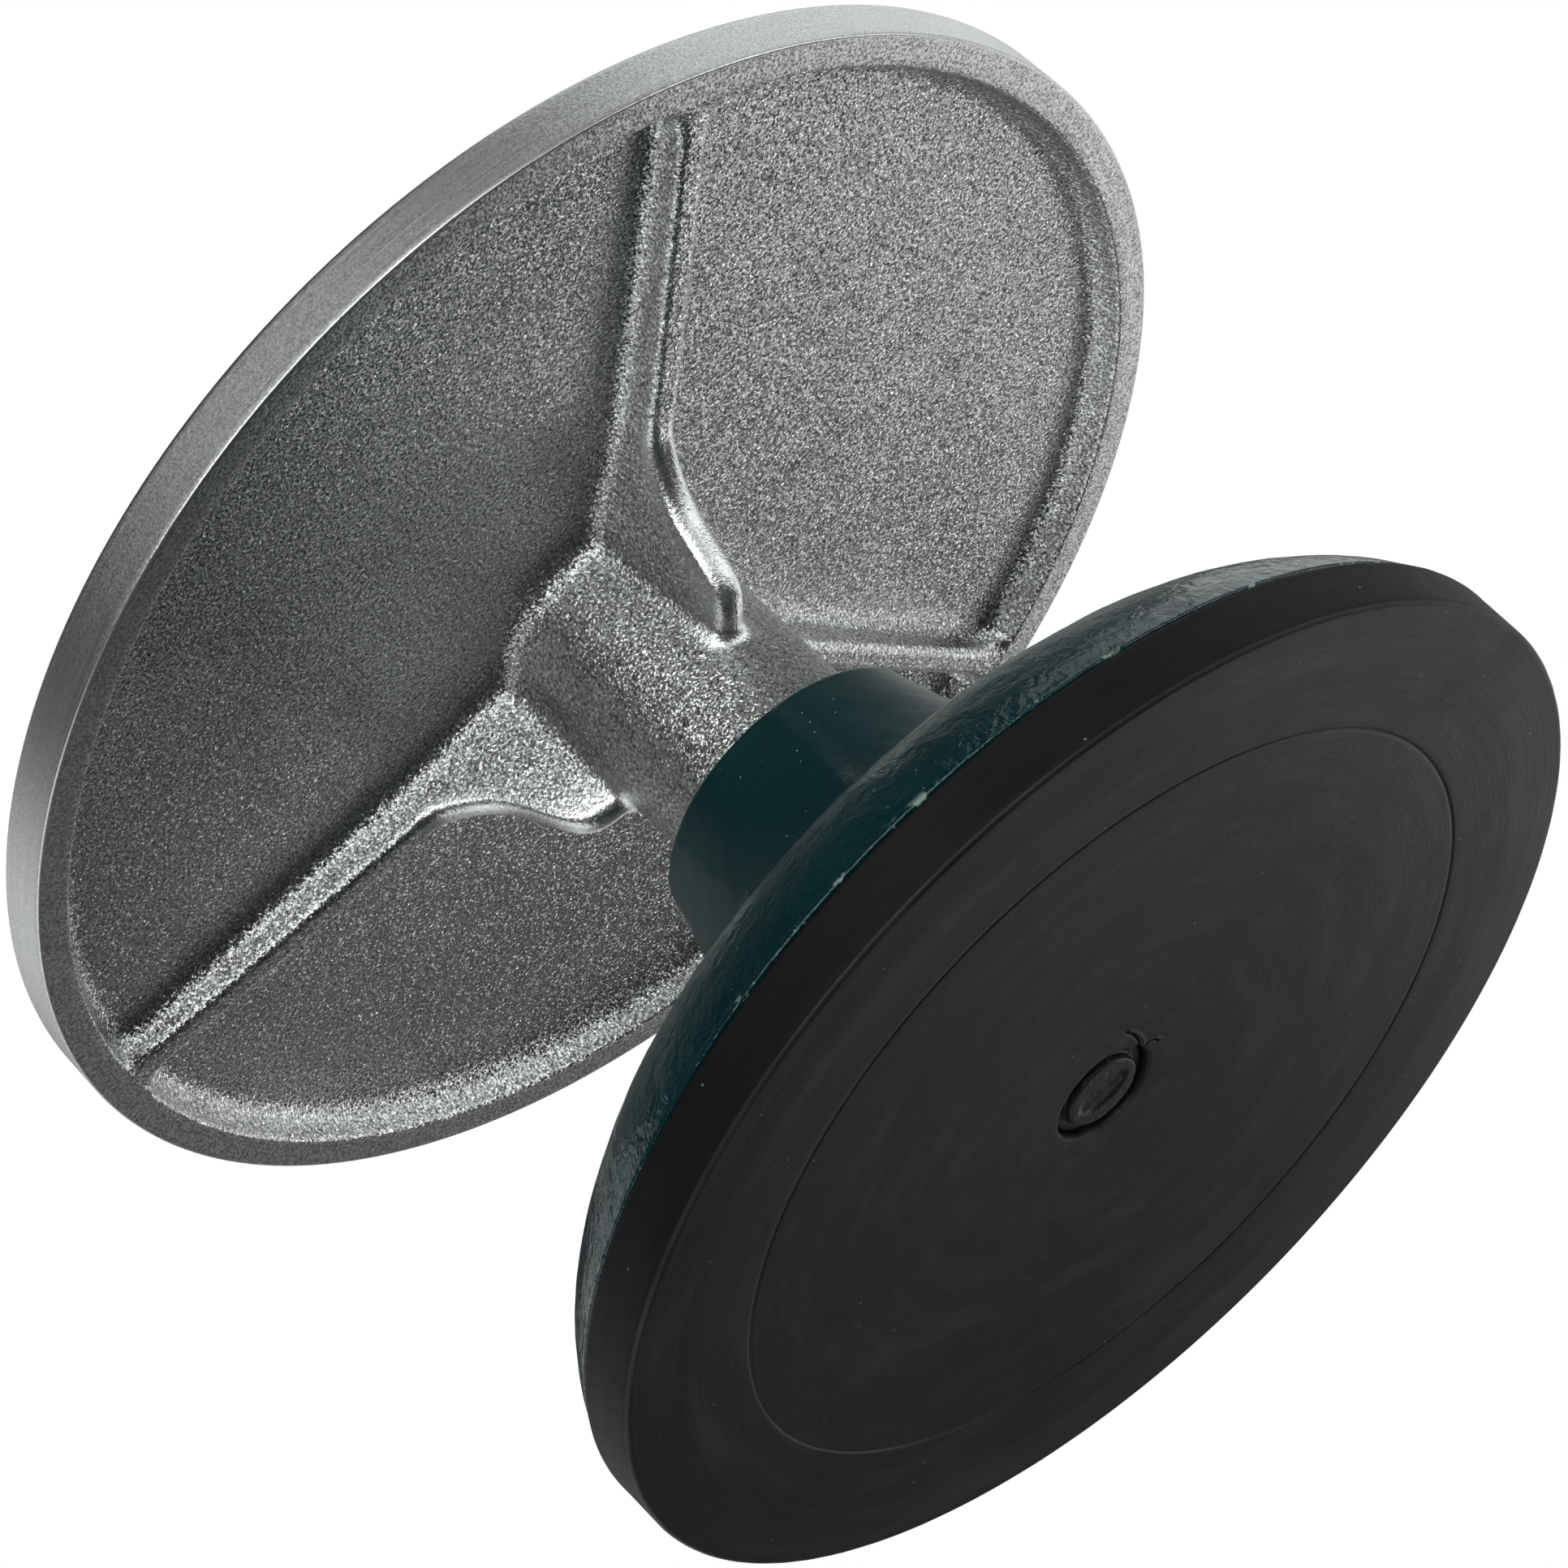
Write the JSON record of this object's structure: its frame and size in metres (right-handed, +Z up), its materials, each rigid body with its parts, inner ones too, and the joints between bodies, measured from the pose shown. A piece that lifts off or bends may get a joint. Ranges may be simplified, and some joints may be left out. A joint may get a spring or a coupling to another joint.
{
  "type": "banding wheel turntable",
  "caption": "Hand-turned banding wheel: a round cast-aluminium wheel head with a ribbed underside, on a bell-shaped green cast-iron base with a rubber foot pad.",
  "frame": {"origin": "centre of the rubber pad's underside, on the surface the wheel stands on", "axes": "+Z up along the spindle, towards the wheel head's working face; +X and +Y are level, and one rib lies 52.5 degrees from +X towards -Y"},
  "size_m": [0.2032, 0.2032, 0.1172],
  "materials": {
    "cast_aluminium": "shot-blasted casting, rim and top face turned",
    "green_enamel": "glossy enamel on cast iron, slightly lumpy",
    "black_rubber": "turned rubber, fine concentric marks",
    "moulded_rubber": "moulded",
    "ground_steel": "turned and ground",
    "bearing_steel": "ground bearing steel",
    "spring_steel": "phosphated spring steel",
    "cage_polyamide": "moulded"
  },
  "bodies": {
    "base": {"base_casting": "green_enamel", "bore_circlip": "spring_steel", "foot_pad": "black_rubber", "lower_bearing_outer_ring": "bearing_steel", "lower_bearing_shield_bottom": "bearing_steel", "lower_bearing_shield_top": "bearing_steel", "outer_spacer_sleeve": "ground_steel", "pad_stud": "moulded_rubber", "upper_bearing_outer_ring": "bearing_steel", "upper_bearing_shield_bottom": "bearing_steel", "upper_bearing_shield_top": "bearing_steel"},
    "head": {"wheel_head": "cast_aluminium", "spindle": "ground_steel", "thrust_collar": "ground_steel", "shim_washer": "ground_steel", "inner_spacer_sleeve": "ground_steel", "spindle_circlip": "spring_steel", "upper_bearing_inner_ring": "bearing_steel", "lower_bearing_inner_ring": "bearing_steel"},
    "upper_cage": {"upper_bearing_cage": "cage_polyamide", "upper_bearing_ball_1": "bearing_steel", "upper_bearing_ball_2": "bearing_steel", "upper_bearing_ball_3": "bearing_steel", "upper_bearing_ball_4": "bearing_steel", "upper_bearing_ball_5": "bearing_steel", "upper_bearing_ball_6": "bearing_steel", "upper_bearing_ball_7": "bearing_steel", "upper_bearing_ball_8": "bearing_steel"},
    "lower_cage": {"lower_bearing_cage": "cage_polyamide", "lower_bearing_ball_1": "bearing_steel", "lower_bearing_ball_2": "bearing_steel", "lower_bearing_ball_3": "bearing_steel", "lower_bearing_ball_4": "bearing_steel", "lower_bearing_ball_5": "bearing_steel", "lower_bearing_ball_6": "bearing_steel", "lower_bearing_ball_7": "bearing_steel", "lower_bearing_ball_8": "bearing_steel"}
  },
  "joints": [
    {"name": "head_spin", "type": "hinge", "parent": "base", "child": "head", "pos_m": [0, 0, 0.0613], "axis": [0, 0, 1], "continuous": true},
    {"name": "upper_cage_spin", "type": "hinge", "parent": "base", "child": "upper_cage", "pos_m": [0, 0, 0.0613], "axis": [0, 0, 1], "continuous": true},
    {"name": "lower_cage_spin", "type": "hinge", "parent": "base", "child": "lower_cage", "pos_m": [0, 0, 0.0388], "axis": [0, 0, 1], "continuous": true}
  ],
  "couplings": [
    {"joint": "upper_cage_spin", "follows": "head_spin", "ratio": 0.381},
    {"joint": "lower_cage_spin", "follows": "head_spin", "ratio": 0.381}
  ]
}
